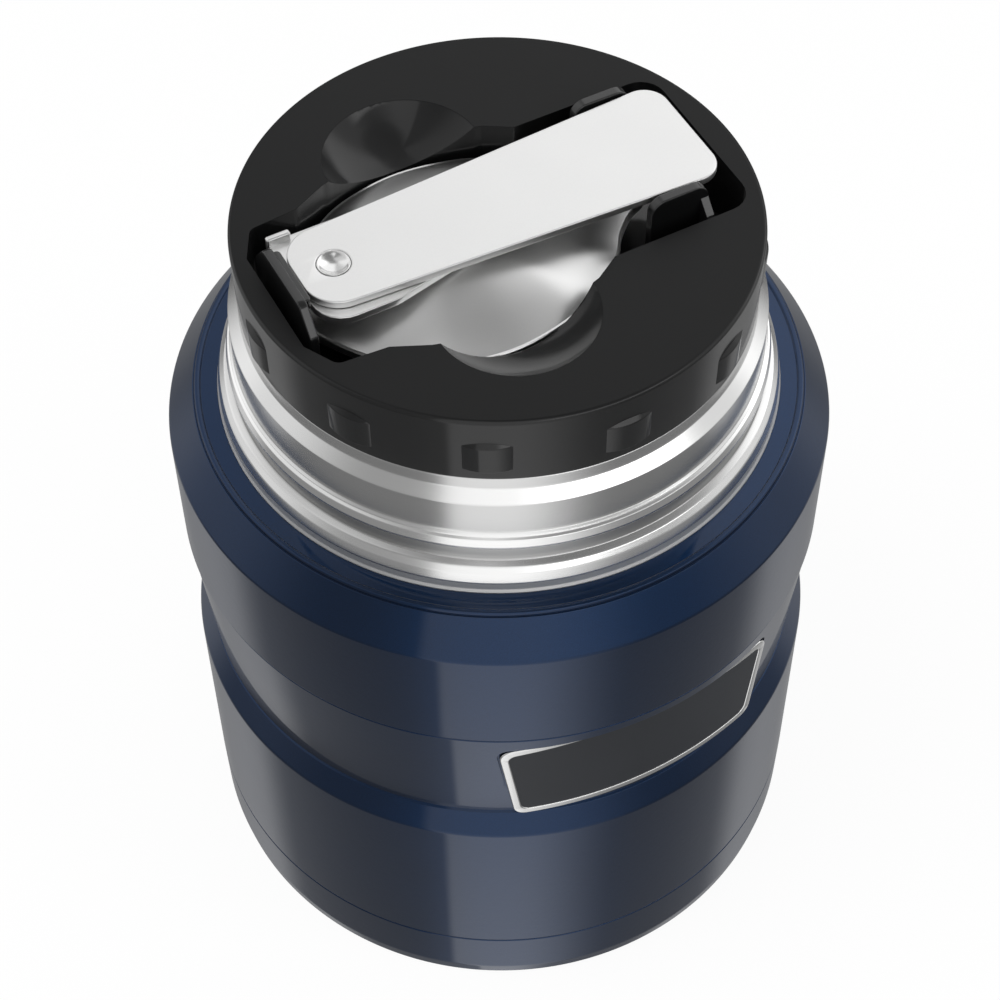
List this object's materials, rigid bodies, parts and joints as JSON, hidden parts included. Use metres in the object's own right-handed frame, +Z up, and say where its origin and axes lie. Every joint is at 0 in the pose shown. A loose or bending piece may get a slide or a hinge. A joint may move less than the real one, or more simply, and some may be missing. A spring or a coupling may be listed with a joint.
{
  "type": "insulated food jar",
  "caption": "Insulated steel food jar, dark blue, with a screw-in stopper whose top stows a folding spoon in a shaped recess.",
  "frame": {"origin": "middle of the jar's base, on the table plane", "axes": "+Z up along the jar's axis, -Y towards the viewer, badge towards +X and -Y"},
  "size_m": [0.0942, 0.0942, 0.1276],
  "materials": {
    "blue_paint": "satin powder coat",
    "steel": "turned satin",
    "spoon_steel": "polished",
    "badge_steel": "brushed",
    "badge_field": "satin",
    "lid_plastic": "fine matte",
    "plug_plastic": "fine matte",
    "silicone": "satin silicone",
    "foam": "foam",
    "foil": "bright foil",
    "solder": "dull"
  },
  "bodies": {
    "jar": {"outer_shell": "blue_paint", "base_cup": "blue_paint", "steel_neck": "steel", "inner_vessel": "steel", "end_plate": "steel", "vacuum_seal": "solder", "getter": "solder", "heat_foil": "foil", "badge_plate": "badge_steel", "badge_inlay": "badge_field"},
    "seal_ring": {"stopper_seal": "silicone"},
    "stopper": {"stopper_top": "lid_plastic", "spoon_tray": "plug_plastic", "spoon_latch": "lid_plastic", "spoon_clips": "lid_plastic", "plug_body": "plug_plastic", "plug_foam": "foam"},
    "spoon": {"spoon_bowl": "spoon_steel", "spoon_tongue": "spoon_steel", "spoon_rivet": "spoon_steel"},
    "handle": {"spoon_handle": "spoon_steel"}
  },
  "joints": [
    {"name": "stopper_lift", "type": "slide", "parent": "jar", "child": "seal_ring", "axis": [0, 0, 1], "range_m": [0, 0.0225]},
    {"name": "stopper_turn", "type": "hinge", "parent": "seal_ring", "child": "stopper", "pos_m": [0, 0, 0.0941], "axis": [0, 0, 1], "range_deg": [0, 810]},
    {"name": "spoon_lift", "type": "slide", "parent": "stopper", "child": "spoon", "axis": [0, 0, 1], "range_m": [0, 0.06]},
    {"name": "spoon_swivel", "type": "hinge", "parent": "spoon", "child": "handle", "pos_m": [-0.02088, -0.01101, 0.1265], "axis": [0, 0, 1], "range_deg": [-180, 0], "deforming": ["spoon_latch", "spoon_clips"]}
  ],
  "couplings": [
    {"joint": "stopper_lift", "follows": "stopper_turn", "m_per_rad": 0.0015915}
  ]
}
